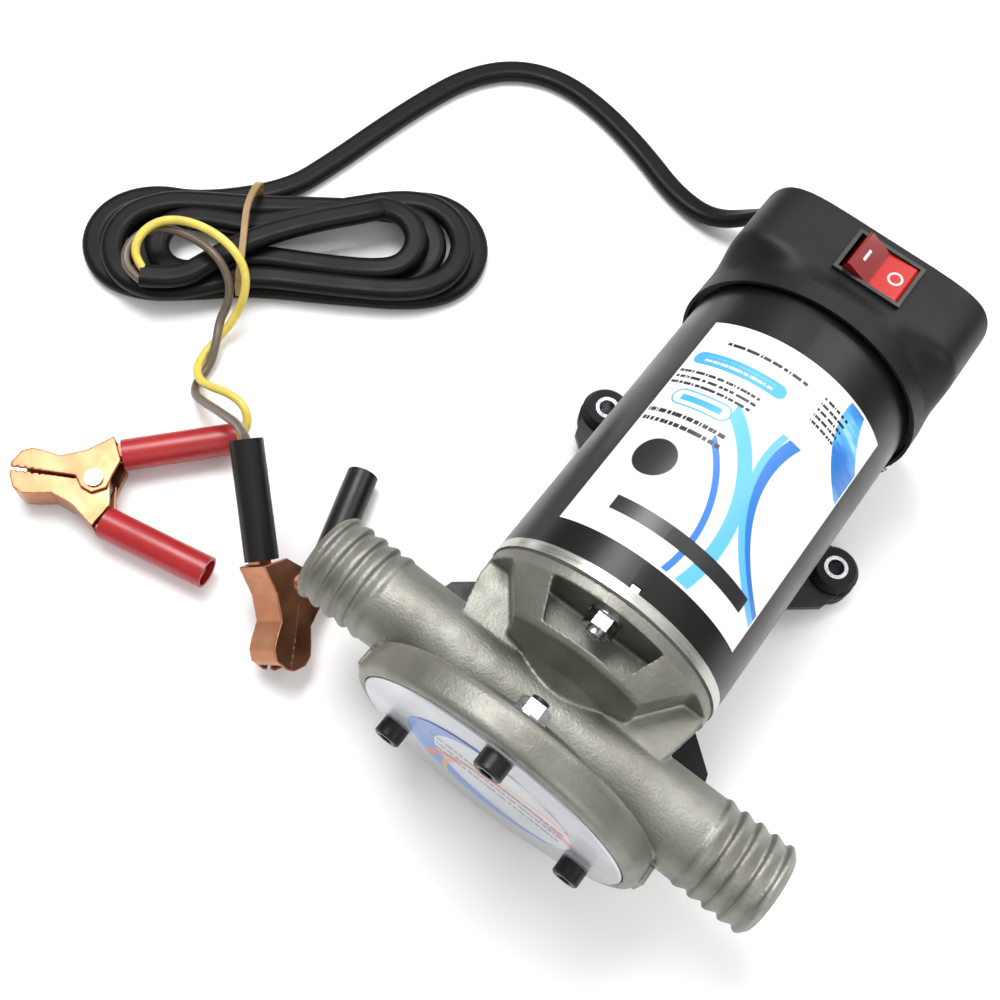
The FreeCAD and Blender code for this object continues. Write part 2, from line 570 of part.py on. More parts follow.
def clip_half(sign, cheek):
    """Stamped half: two cheeks, a back that follows their outer edge, and a handle trough."""
    crown = [(JAW_TIP, 2.0), (-24.8, 6.2), (-21.6, 7.7), (-17.6, 7.3), (-12.6, 6.3), (-5.0, 9.4),
             (2.6, 15.6)]
    belly = [(6.6, 15.6 - 8.0), (5.2, 2.0), (4.4, -2.4), (0.0, -4.8), (-3.8, -3.2), (-6.2, CHEEK_GAP),
             (JAW_TIP, CHEEK_GAP)]
    side = prism(crown + belly, -cheek, 2 * cheek)
    hollow = [(JAW_TIP - 2, 1.6), (-24.0, 5.2), (-21.4, 6.6), (-17.7, 6.2), (-12.4, 5.2), (-4.5, 8.4),
              (2.0, 14.0), (9, 16), (9, -8), (JAW_TIP - 2, -8)]
    shell = side.cut(prism(hollow, SHEET - cheek, 2 * (cheek - SHEET)))
    teeth = [prism([(x, -1), (x + 0.7, CHEEK_GAP + 1.1), (x + 1.4, -1)], -9, 18)
             for x in (-25.6, -23.2, -20.8, -18.4)]
    shell = shell.cut(Part.makeCompound(teeth))
    aim = V(HANDLE_END[0] - HANDLE_START[0], HANDLE_END[1] - HANDLE_START[1], 0)
    trough = box(-5.0, aim.Length - 1.5, -1.6, 3.3, -2.7, 2.7)
    trough = trough.cut(box(-6, aim.Length + 1, -3, 2.3, -1.7, 1.7))
    trough.rotate(V(0, 0, 0), Z, math.degrees(math.atan2(aim.y, aim.x)))
    trough.translate(V(*HANDLE_START, 0))
    hole = Part.makeCylinder(PIVOT_R + (RUN_GAP if sign < 0 else 0), 30, V(0, 0, -15))
    half = fuse(shell, trough).cut(hole)
    return half if sign > 0 else half.mirror(V(0, 0, 0), Y)


def clip_sleeve(sign):
    aim = V(HANDLE_END[0] - HANDLE_START[0], HANDLE_END[1] - HANDLE_START[1], 0)
    start = V(*HANDLE_START, 0)
    tube = Part.makeCylinder(SLEEVE_OUT_R, aim.Length, start, aim)
    tube = tube.cut(Part.makeCylinder(SLEEVE_IN_R, aim.Length + 2, start - aim * 0.02, aim))
    return tube if sign > 0 else tube.mirror(V(0, 0, 0), Y)


def clip_rivet():
    pin = Part.makeCylinder(PIVOT_R, 2 * OUTER_CHEEK, V(0, 0, -OUTER_CHEEK))
    heads = [Part.makeCylinder(2.9, 1.0, V(0, 0, z)) for z in (-OUTER_CHEEK - 1.0, OUTER_CHEEK)]
    return fuse(pin, *heads)


def clip_spring():
    """Torsion spring on the rivet: closed coils and two legs that press the handles apart."""
    wire_r, coil_r = 0.65, 3.3
    coils = [Part.makeTorus(coil_r, wire_r, V(0, 0, z)) for z in (-2.6, -1.35, -0.1, 1.15, 2.4)]
    legs = [lead([V(0, s * coil_r, z), V(1.5, s * 4.9, z), V(2.1, s * 6.4, z)], wire_r)[0]
            for s, z in ((1, 2.4), (-1, -2.6))]
    return group([coils[0].fuse(coils[1:] + legs)])


def clip(prefix, frame):
    nodes = {"wired_jaw": clip_half(1, OUTER_CHEEK), "free_jaw": clip_half(-1, INNER_CHEEK),
             "wired_sleeve": clip_sleeve(1), "free_sleeve": clip_sleeve(-1),
             "rivet": clip_rivet(), "spring": clip_spring()}
    for name, shape in nodes.items():
        laid = shape.copy()
        laid.Placement = frame
        keep(prefix + "_clip_" + name, laid, V(0, 0, 0))
        low = laid.BoundBox.ZMin
        if low < -0.001:
            print("below the resting plane:", prefix, name, round(low, 3))
    middle = V((HANDLE_START[0] + HANDLE_END[0]) / 2, (HANDLE_START[1] + HANDLE_END[1]) / 2, 0)
    print(prefix, "handle end", frame.multVec(V(*HANDLE_END, 0)), "middle", frame.multVec(middle))


# ---------------------------------------------------------------- cord, hank and wires
CABLE_ROUTE = [V(-15, 119.2, 45), V(-16, 137, 42), V(-29, 151, 31), V(-47, 147, 14), V(-62, 141, 4.5),
               V(-80, 143, 3.5), V(-100, 151, 3.5), V(-122, 158, 3.5), V(-144, 160, 3.5),
               V(-162, 152, 3.5), V(-174, 136, 3.5), V(-180, 114, 3.5), V(-184, 92, 3.5),
               V(-187.5, 70, 3.5), V(-192, 49, 3.5)]
YELLOW_ROUTE = [V(-198.1, -17.6, 19.1), V(-203.2, -13.9, 21), V(-206.7, -9.2, 22.7),
                V(-207.3, -3.2, 23.8), V(-204.3, 2.9, 24.4), V(-197.6, 7.3, 25), V(-188.5, 9.5, 25.4),
                V(-178.9, 9.4, 24.8), V(-170.8, 6.9, 21.6), V(-167.6, 1.7, 15.1), V(-167.5, -4.8, 8.6),
                V(-168.7, -12.2, 4), V(-168.9, -19.8, 2.8), V(-166.3, -26.4, 4.6),
                V(-160.9, -29.5, 7.9), V(-155.6, -28.6, 11.1), V(-152.5, -25.2, 15.2),
                V(-146.3, -22.2, 17.1), V(-140.4, -22.3, 16.7), V(-135.5, -25, 14.6),
                V(-133.2, -29.4, 11.8), V(-133.7, -34, 9), V(-136.4, -38.1, 7.5)]
BROWN_ROUTE = [V(-196.6, -22.6, 19.4), V(-202.6, -19.4, 19.4), V(-207.2, -14.9, 19.3),
               V(-208.6, -8.6, 19.3), V(-206.3, -2.4, 19.8), V(-200.2, 2.1, 20.8), V(-191.8, 3.3, 21.5),
               V(-183.5, 1.1, 21), V(-176.8, -3.2, 18.2), V(-171.9, -7, 13.6), V(-168.2, -11.5, 8.9),
               V(-165.4, -17, 5.1), V(-163.9, -23.2, 2.3), V(-162, -29.5, 2.2), V(-158.1, -34.4, 5),
               V(-152, -37, 10.1), V(-144.9, -38.4, 16.5), V(-137.8, -39.5, 23), V(-131.3, -41, 29.1),
               V(-126, -43, 34.2), V(-121.5, -45.6, 38.6)]
HANK_OUTLINE = [V(-196, 40, 0), V(-176, 65, 0), V(-150, 88, 0), V(-122, 79, 0), V(-114, 57, 0),
                V(-136, 29, 0), V(-173, 6, 0), V(-194, -15, 0), V(-226, -9, 0), V(-240, 6, 0),
                V(-222, 27, 0)]
HANK_H = 17.5
TIE_FROM, TIE_TO, TIE_T = V(-195.5, 42, 0), V(-174.5, 3, 0), 2.6


def hank_tie():
    """Band round the waist of the hank, flat on the resting plane."""
    across = TIE_TO - TIE_FROM
    outer = box(0, across.Length, -TIE_T / 2, TIE_T / 2, 0, HANK_H + TIE_T)
    outer = outer.makeFillet(4.0, [e for e in outer.Edges if abs(e.tangentAt(0).y) > 0.9])
    inner = box(TIE_T, across.Length - TIE_T, -TIE_T, TIE_T, TIE_T, HANK_H)
    inner = inner.makeFillet(2.0, [e for e in inner.Edges if abs(e.tangentAt(0).y) > 0.9])
    band = outer.cut(inner)
    band.rotate(V(0, 0, 0), Z, math.degrees(math.atan2(across.y, across.x)))
    band.translate(TIE_FROM)
    return band


def hank():
    """Outer shape of the gathered turns: a slab narrowed at the tie."""
    curve = Part.BSplineCurve()
    curve.interpolate(HANK_OUTLINE, PeriodicFlag=True)
    return Part.Face(Part.Wire(curve.toShape())).extrude(Z * HANK_H)


def cords():
    flat = V(0, 0, 0)
    gathered = hank()
    keep("cable_hank", gathered.cut(hank_tie()), flat)
    keep("hank_tie", hank_tie(), flat)
    cords_made = {"power_cable": (CABLE_ROUTE, CORD_R), "wire_yellow": (YELLOW_ROUTE, WIRE_R),
                  "wire_brown": (BROWN_ROUTE, WIRE_R)}
    for node, (route, radius) in cords_made.items():
        solid, length, radii = lead(route, radius)
        expected = math.pi * radius * radius * length
        print(node, "length", round(length, 1), "volume ratio", round(solid.Volume / expected, 4))
        print("    runs", [round((b - a).Length, 1) for a, b in zip(route, route[1:])])
        print("    radii", [round(r, 1) for r in radii])
        if node == "power_cable":
            solid = solid.cut(gathered)
        keep(node, solid, flat)


pump_head()
motor()
cap_and_switch()
base()
clip("red", RED_CLIP)
clip("black", BLACK_CLIP)
cords()
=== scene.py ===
"""Looks for the transfer pump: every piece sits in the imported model's frame, in metres."""
import json
import math

import bmesh
import bpy
from mathutils import Matrix, Vector


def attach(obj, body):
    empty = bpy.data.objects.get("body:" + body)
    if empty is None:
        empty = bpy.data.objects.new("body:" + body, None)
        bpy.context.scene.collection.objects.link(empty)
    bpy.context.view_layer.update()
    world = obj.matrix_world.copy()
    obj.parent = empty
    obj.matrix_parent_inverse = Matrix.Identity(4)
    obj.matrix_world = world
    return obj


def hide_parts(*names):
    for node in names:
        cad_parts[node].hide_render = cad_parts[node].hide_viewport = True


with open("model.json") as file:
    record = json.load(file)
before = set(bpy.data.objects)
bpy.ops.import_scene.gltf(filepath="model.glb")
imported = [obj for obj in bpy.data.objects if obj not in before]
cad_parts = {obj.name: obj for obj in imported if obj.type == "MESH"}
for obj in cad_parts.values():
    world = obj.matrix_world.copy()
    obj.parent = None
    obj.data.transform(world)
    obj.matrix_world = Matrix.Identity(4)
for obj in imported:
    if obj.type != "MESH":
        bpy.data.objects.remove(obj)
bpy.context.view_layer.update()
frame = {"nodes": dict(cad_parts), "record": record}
NODES = frame["nodes"]
MM = 0.001
WELD = 1e-6                   # vertices closer than this become one
AXIS_HEIGHT = 0.048           # of the line that the motor and the pump turn about
CASING_R = 38.0               # radius of the motor casing, in millimetres
ROCKER_AT = (0.0022, 0.0968)  # x and y of the rocker's middle

# ---------------------------------------------------------------- camera
CAMERA_AT = Vector((0.0160, -0.1410, 0.3766))
CAMERA_AHEAD = Vector((-0.177, 0.349, -0.920)).normalized()
CAMERA_RIGHT = Vector((0.795, 0.602, 0.075))
LENS, SENSOR = 43.6, 36.0


def add_camera():
    right = (CAMERA_RIGHT - CAMERA_AHEAD * CAMERA_RIGHT.dot(CAMERA_AHEAD)).normalized()
    up = right.cross(CAMERA_AHEAD)
    camera = bpy.data.objects.new("camera", bpy.data.cameras.new("camera"))
    camera.data.lens, camera.data.sensor_width = LENS, SENSOR
    camera.data.clip_start, camera.data.clip_end = 0.01, 20.0
    turn = Matrix((right, up, -CAMERA_AHEAD)).transposed().to_4x4()
    camera.matrix_world = Matrix.Translation(CAMERA_AT) @ turn
    bpy.context.scene.collection.objects.link(camera)
    bpy.context.scene.camera = camera


add_camera()


# ---------------------------------------------------------------- small tools
def link(obj):
    bpy.context.scene.collection.objects.link(obj)
    return obj


def mm(*points):
    """Points written in millimetres, as vectors in metres."""
    return [Vector(p) * MM for p in points]


def paint(obj, material):
    obj.data.materials.clear()
    obj.data.materials.append(material)


def smooth(obj, angle=35.0):
    """Smooth shading with edges sharper than the angle kept crisp."""
    bm = bmesh.new()
    bm.from_mesh(obj.data)
    for face in bm.faces:
        face.smooth = True
    for edge in bm.edges:
        if len(edge.link_faces) == 2:
            edge.smooth = edge.calc_face_angle(0.0) < math.radians(angle)
    bm.to_mesh(obj.data)
    bm.free()


def finished(name, bm, material, body, slot, *nodes, sharp=35.0):
    """Turns a bmesh into a piece that rides on a body and stands for the nodes."""
    mesh = bpy.data.meshes.new(name)
    bm.normal_update()
    bm.to_mesh(mesh)
    bm.free()
    obj = link(bpy.data.objects.new(name, mesh))
    smooth(obj, sharp)
    paint(obj, material)
    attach(obj, body)
    if nodes:
        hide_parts(*nodes)
    return obj


def applied(obj):
    """Mesh of the object with its modifiers applied."""
    bpy.context.view_layer.update()
    shown = obj.evaluated_get(bpy.context.evaluated_depsgraph_get())
    return bpy.data.meshes.new_from_object(shown)


def rounding(obj, voxel, rounds):
    """Modifiers that turn hard edges into small fillets."""
    grid = obj.modifiers.new("grid", "REMESH")
    grid.mode, grid.voxel_size, grid.use_smooth_shade = "VOXEL", voxel, True
    relax = obj.modifiers.new("relax", "SMOOTH")
    relax.factor, relax.iterations = 0.5, rounds


def recast(node, name, voxel, rounds, material, body):
    """Copy of a CAD node with its hard edges softened into cast fillets."""
    bm = bmesh.new()
    bm.from_mesh(NODES[node].data)
    bmesh.ops.remove_doubles(bm, verts=bm.verts, dist=WELD)
    mesh = bpy.data.meshes.new(name)
    bm.to_mesh(mesh)
    bm.free()
    obj = link(bpy.data.objects.new(name, mesh))
    rounding(obj, voxel, rounds)
    obj.data = applied(obj)
    obj.modifiers.clear()
    for polygon in obj.data.polygons:
        polygon.use_smooth = True
    paint(obj, material)
    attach(obj, body)
    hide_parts(node)
    return obj


def soften(node, voxel, rounds):
    """Rounds the hard edges of a CAD node that keeps its own place in the model."""
    weld = NODES[node].modifiers.new("weld", "WELD")
    weld.merge_threshold = WELD
    rounding(NODES[node], voxel, rounds)


# ---------------------------------------------------------------- materials
class Paint:
    """One procedural material: a Principled shader and short calls that wire nodes to it."""

    def __init__(self, name, color, roughness=0.5, metallic=0.0, **sockets):
        self.material = bpy.data.materials.new(name)
        self.material.use_nodes = True
        self.tree = self.material.node_tree
        self.shader = self.tree.nodes["Principled BSDF"]
        self.put("Base Color", (*color, 1.0))
        self.put("Roughness", roughness)
        self.put("Metallic", metallic)
        for socket, value in sockets.items():
            self.put(socket.replace("_", " "), value)
        self.color, self.bumps = color, None
        self.coords = self.tree.nodes.new("ShaderNodeTexCoord").outputs["Object"]

    def put(self, socket, value):
        self.shader.inputs[socket].default_value = value

    def node(self, kind, inputs=(), **settings):
        made = self.tree.nodes.new("ShaderNode" + kind)
        for key, value in settings.items():
            setattr(made, key, value)
        for key, value in dict(inputs).items():
            if isinstance(value, bpy.types.NodeSocket):
                self.tree.links.new(value, made.inputs[key])
            else:
                made.inputs[key].default_value = value
        return made

    def math(self, operation, *values):
        return self.node("Math", dict(enumerate(values)), operation=operation).outputs[0]

    def noise(self, size, detail=3.0, stretch=(1, 1, 1), roughness=0.5):
        """Noise whose features are about size metres across, longer along stretched axes."""
        scale = tuple(1 / (size * s) for s in stretch)
        place = self.node("Mapping", {"Vector": self.coords, "Scale": scale})
        return self.node("TexNoise", {"Vector": place.outputs[0], "Scale": 1.0, "Detail": detail,
                                      "Roughness": roughness}).outputs["Fac"]

    def ramp(self, factor, *stops):
        """Colour ramp through (position, value or colour) stops."""
        made = self.node("ValToRGB", {"Fac": factor})
        bar = made.color_ramp
        while len(bar.elements) < len(stops):
            bar.elements.new(0.5)
        for element, (place, color) in zip(bar.elements, stops):
            element.position = place
            element.color = (color, color, color, 1) if isinstance(color, float) else (*color, 1)
        return made.outputs["Color"]

    def mix(self, factor, first, second):
        made = self.node("Mix", {0: factor}, data_type="RGBA")
        for index, value in ((6, first), (7, second)):
            if isinstance(value, bpy.types.NodeSocket):
                self.tree.links.new(value, made.inputs[index])
            else:
                made.inputs[index].default_value = (*value, 1.0)
        return made.outputs[2]

    def set(self, socket, source):
        self.tree.links.new(source, self.shader.inputs[socket])
        return self

    def vary(self, size, darker=0.8, lighter=1.15, **kw):
        """Broad light and dark variation of the base colour."""
        low = tuple(min(1.0, c * darker) for c in self.color)
        high = tuple(min(1.0, c * lighter) for c in self.color)
        return self.set("Base Color", self.ramp(self.noise(size, **kw), (0.3, low), (0.7, high)))

    def rough(self, size, low, high, **kw):
        return self.set("Roughness", self.ramp(self.noise(size, **kw), (0.3, low), (0.7, high)))

    def bump(self, height, depth, strength=1.0):
        """Adds a bump of that depth in metres; later bumps lie on top of earlier ones."""
        inputs = {"Height": height, "Distance": depth, "Strength": strength}
        if self.bumps:
            inputs["Normal"] = self.bumps
        self.bumps = self.node("Bump", inputs).outputs[0]
        return self.set("Normal", self.bumps)


def grained(name, color, roughness, metallic=0.0, patch=0.012, grain=0.0006, depth=0.00003,
            spread=0.1, shade=0.12, stretch=(1, 1, 1), **sockets):
    """Material with patchy colour, uneven gloss and a fine grain, the base of most finishes."""
    made = Paint(name, color, roughness, metallic, **sockets)
    made.vary(patch, 1 - shade, 1 + shade, stretch=stretch)
    made.rough(patch * 0.6, max(0.02, roughness - spread), min(1.0, roughness + spread),
               stretch=stretch)
    made.bump(made.noise(grain, 4.0, stretch), depth)
    return made


def cast_metal():
    made = Paint("cast_body", (0.25, 0.247, 0.218), 0.48, 0.90)
    cloud = made.noise(0.022, 4.0)
    tone = made.ramp(cloud, (0.3, (0.195, 0.192, 0.166)), (0.5, (0.25, 0.247, 0.218)),
                     (0.72, (0.32, 0.317, 0.285)))
    made.set("Base Color", tone)
    made.set("Roughness", made.ramp(made.noise(0.006, 4.0), (0.3, 0.44), (0.7, 0.60)))
    made.bump(made.noise(0.0045, 3.0), 0.00016, 0.7)
    made.bump(made.noise(0.0008, 5.0), 0.00014, 0.9)
    return made.material


def turned_metal():
    made = Paint("turned_aluminium", (0.52, 0.51, 0.48), 0.3, 0.95)
    made.vary(0.01, 0.9, 1.08)
    made.set("Roughness", made.ramp(made.noise(0.0006, 2.0, (20, 1, 20)), (0.3, 0.22), (0.7, 0.4)))
    made.bump(made.noise(0.0004, 2.0, (60, 1, 60)), 0.00002)
    return made.material


def cylinder_place(made, radius):
    """Distance round the motor from its top, and along it, both in millimetres."""
    split = made.node("SeparateXYZ", {0: made.coords})
    height = made.math("SUBTRACT", split.outputs[2], AXIS_HEIGHT)
    around = made.math("MULTIPLY", made.math("ARCTAN2", split.outputs[0], height), radius)
    return around, made.math("MULTIPLY", split.outputs[1], 1000.0)


def within(made, value, low, high, soft=0.12):
    """1 where low < value < high, with a narrow soft edge."""
    up = made.node("MapRange", {0: value, 1: low - soft, 2: low + soft}).outputs[0]
    down = made.node("MapRange", {0: value, 1: high + soft, 2: high - soft}).outputs[0]
    return made.math("MULTIPLY", up, down)


def pill(made, u, v, cu, cv, half, radius, soft=0.15):
    """1 inside a band with round ends, centred at (cu, cv) and long along u."""
    away = made.math("ABSOLUTE", made.math("SUBTRACT", u, cu))
    past = made.math("MAXIMUM", made.math("SUBTRACT", away, half - radius), 0.0)
    side = made.math("SUBTRACT", v, cv)
    gap = made.math("SQRT", made.math("ADD", made.math("MULTIPLY", past, past),
                                      made.math("MULTIPLY", side, side)))
    return made.node("MapRange", {0: gap, 1: radius + soft, 2: radius - soft}).outputs[0]


def disc_mask(made, u, v, cu, cv, radius, soft=0.2):
    du, dv = made.math("SUBTRACT", u, cu), made.math("SUBTRACT", v, cv)
    gap = made.math("SQRT", made.math("ADD", made.math("MULTIPLY", du, du),
                                      made.math("MULTIPLY", dv, dv)))
    return made.node("MapRange", {0: gap, 1: radius + soft, 2: radius - soft}).outputs[0]


def bars(made, u, v, cu, cv, half, pitch, rows):
    """Rows of broken dark strokes that stand for print without being letters."""
    wobble = made.node("TexNoise", {"Scale": 1.0, "Detail": 1.0})
    place = made.node("CombineXYZ", {0: made.math("MULTIPLY", u, 1.1),
                                     1: made.math("FLOOR", made.math("DIVIDE", v, pitch))})
    made.tree.links.new(place.outputs[0], wobble.inputs["Vector"])
    strokes = made.math("GREATER_THAN", wobble.outputs["Fac"], 0.44)
    line = made.math("FRACT", made.math("DIVIDE", v, pitch))
    row = within(made, line, 0.28, 0.72, 0.06)
    area = made.math("MULTIPLY", within(made, u, cu - half, cu + half),
                     within(made, v, cv - pitch * rows / 2, cv + pitch * rows / 2))
    return made.math("MULTIPLY", made.math("MULTIPLY", strokes, row), area)


def label_print():
    """Wrap label: pale film, blue swooshes and bands, a plain disc and print bars."""
    made = Paint("label_print", (0.80, 0.81, 0.82), 0.34, 0.0, Coat_Weight=0.2, Coat_Roughness=0.2)
    u, v = cylinder_place(made, CASING_R)
    tone = made.ramp(made.noise(0.02, 2.0), (0.3, (0.78, 0.79, 0.80)), (0.7, (0.86, 0.87, 0.88)))
    blue, pale, ink = (0.02, 0.16, 0.52), (0.10, 0.42, 0.80), (0.008, 0.008, 0.010)

    def arc(cu, cv, radius, thick):
        outer = disc_mask(made, u, v, cu, cv, radius + thick / 2)
        inner = disc_mask(made, u, v, cu, cv, radius - thick / 2)
        return made.math("SUBTRACT", outer, inner)

    def block(low_u, high_u, low_v, high_v):
        return made.math("MULTIPLY", within(made, u, low_u, high_u), within(made, v, low_v, high_v))

    # fin shapes that sweep from the front edge up the middle of the label
    reach = made.math("MULTIPLY", within(made, u, -6, 40), within(made, v, -20, 34))
    for centre, radius, thick, color in (((-34, -6), 46.5, 4.4, pale), ((-36, -9), 42.0, 2.0, blue),
                                         ((44, 22), 33.0, 4.0, blue), ((46, 25), 37.5, 2.2, pale)):
        tone = made.mix(made.math("MULTIPLY", arc(*centre, radius, thick), reach), tone, color)
    # fan in the rear corner
    fan = made.math("MULTIPLY", disc_mask(made, u, v, 40, 54, 21), within(made, v, 33, 60))
    shade = made.ramp(made.noise(0.004, 2.0, (4, 1, 4)), (0.35, blue), (0.6, pale),
                      (0.8, (0.55, 0.75, 0.92)))
    tone = made.mix(fan, tone, shade)
    tone = made.mix(disc_mask(made, u, v, 45, 63, 20), tone, (0.80, 0.82, 0.84))
    # bands
    tone = made.mix(pill(made, u, v, -12, 43.6, 15, 2.4), tone, (0.06, 0.36, 0.78))
    tone = made.mix(bars(made, u, v, -12, 43.6, 11, 2.0, 1), tone, (0.80, 0.86, 0.92))
    tone = made.mix(pill(made, u, v, -15, 28.5, 9.5, 3.0), tone, (0.06, 0.36, 0.78))
    tone = made.mix(pill(made, u, v, -15, 28.5, 8.9, 2.4), tone, (0.80, 0.87, 0.93))
    tone = made.mix(block(-21.5, -8.5, 27.4, 29.6), tone, (0.06, 0.36, 0.78))
    # a plain disc, one broad plain bar along the front edge, and print bars
    tone = made.mix(disc_mask(made, u, v, -16.0, 7.0, 6.4), tone, ink)
    tone = made.mix(block(-17.5, 29.6, -12.8, -8.0), tone, ink)
    for cu, cv, half, pitch, rows in ((-17, 20.0, 14, 3.4, 2), (-16, 35.6, 14, 2.3, 3),
                                      (-7, 50.6, 13, 2.6, 1), (17, 47.5, 5, 2.1, 5)):
        tone = made.mix(bars(made, u, v, cu, cv, half, pitch, rows), tone, ink)
    border = made.math("SUBTRACT", 1.0, made.math("MULTIPLY", within(made, u, -28.6, 36.5),
                                                  within(made, v, -19.7, 57.2)))
    tone = made.mix(border, tone, (0.72, 0.73, 0.74))
    made.set("Base Color", tone)
    made.bump(made.noise(0.006, 2.0), 0.00003)
    return made.material


def cover_print():
    """Round film on the cover: faded blue and red strokes on a silvery ground."""
    made = Paint("cover_print", (0.60, 0.60, 0.63), 0.3, 0.35)
    split = made.node("SeparateXYZ", {0: made.coords})
    u = made.math("MULTIPLY", split.outputs[0], 1000.0)
    v = made.math("MULTIPLY", made.math("SUBTRACT", split.outputs[2], AXIS_HEIGHT), 1000.0)
    tone = made.ramp(made.noise(0.01, 3.0), (0.3, (0.55, 0.56, 0.60)), (0.7, (0.68, 0.68, 0.70)))
    for cu, cv, radius, thick, color in ((0, 0, 33.6, 1.0, (0.30, 0.32, 0.38)),
                                         (6, 4, 28, 7.0, (0.08, 0.20, 0.58)),
                                         (9, 6, 36, 3.4, (0.12, 0.30, 0.66)),
                                         (10, -22, 30, 3.0, (0.66, 0.20, 0.14)),
                                         (16, -16, 30, 1.8, (0.72, 0.36, 0.14))):
        outer = disc_mask(made, u, v, cu, cv, radius + thick / 2)
        ringed = made.math("SUBTRACT", outer, disc_mask(made, u, v, cu, cv, radius - thick / 2))
        inside = made.math("MULTIPLY", ringed, disc_mask(made, u, v, 0, 0, 34.5))
        tone = made.mix(made.math("MULTIPLY", inside, 0.85), tone, color)
    strokes = bars(made, u, v, 2, 4, 22, 5.4, 3)
    tone = made.mix(made.math("MULTIPLY", strokes, 0.8), tone, (0.16, 0.17, 0.22))
    made.set("Base Color", tone)
    made.bump(made.noise(0.003, 2.0), 0.00002)
    return made.material


def copper_plate():
    made = Paint("clip_copper", (0.50, 0.235, 0.13), 0.34, 1.0)
    tone = made.ramp(made.noise(0.012, 2.0), (0.3, (0.38, 0.16, 0.080)), (0.7, (0.50, 0.23, 0.125)))
    made.set("Base Color", tone)
    made.rough(0.010, 0.27, 0.42)
    made.bump(made.noise(0.0040, 2.0), 0.00006)
    made.bump(made.noise(0.0004, 3.0), 0.00001)
    return made.material


def rocker_red():
    """Glossy red rocker with a white bar at one end and a white ring at the other; the half at negative
    x is painted darker red as painted shade.
    """
    made = Paint("red_rocker", (0.42, 0.012, 0.010), 0.14, Coat_Weight=0.7, Coat_Roughness=0.05,
                 Subsurface_Weight=0.15, Subsurface_Scale=0.002)
    split = made.node("SeparateXYZ", {0: made.coords})
    u = made.math("MULTIPLY", made.math("SUBTRACT", split.outputs[0], ROCKER_AT[0]), 1000.0)
    v = made.math("MULTIPLY", made.math("SUBTRACT", split.outputs[1], ROCKER_AT[1]), 1000.0)
    # painted shade: the rocker's half at negative x (the bar end) gets a darker red than the plain red
    # of the other half
    painted_shade_half = within(made, u, -20.0, 0.0, 0.3)
    tone = made.mix(painted_shade_half, (0.46, 0.014, 0.011), (0.20, 0.006, 0.006))
    ring = made.math("SUBTRACT", disc_mask(made, u, v, 5.6, 0, 2.3, 0.1),
                     disc_mask(made, u, v, 5.6, 0, 1.7, 0.1))
    bar = made.math("MULTIPLY", within(made, u, -5.2, -4.4, 0.1), within(made, v, -2.1, 2.1, 0.1))
    for mark in (ring, bar):
        tone = made.mix(mark, tone, (0.80, 0.76, 0.74))
    made.set("Base Color", tone)
    made.bump(made.noise(0.006, 2.0), 0.00003)
    return made.material


def moulded(name, color, roughness, grain=0.00045, depth=0.00006, **sockets):
    """Moulded plastic or rubber with a spark-eroded skin."""
    made = grained(name, color, roughness, patch=0.02, grain=grain, depth=depth, spread=0.06,
                   shade=0.10, **sockets)
    made.bump(made.noise(0.012, 2.0), 0.00010, 0.5)
    return made.material


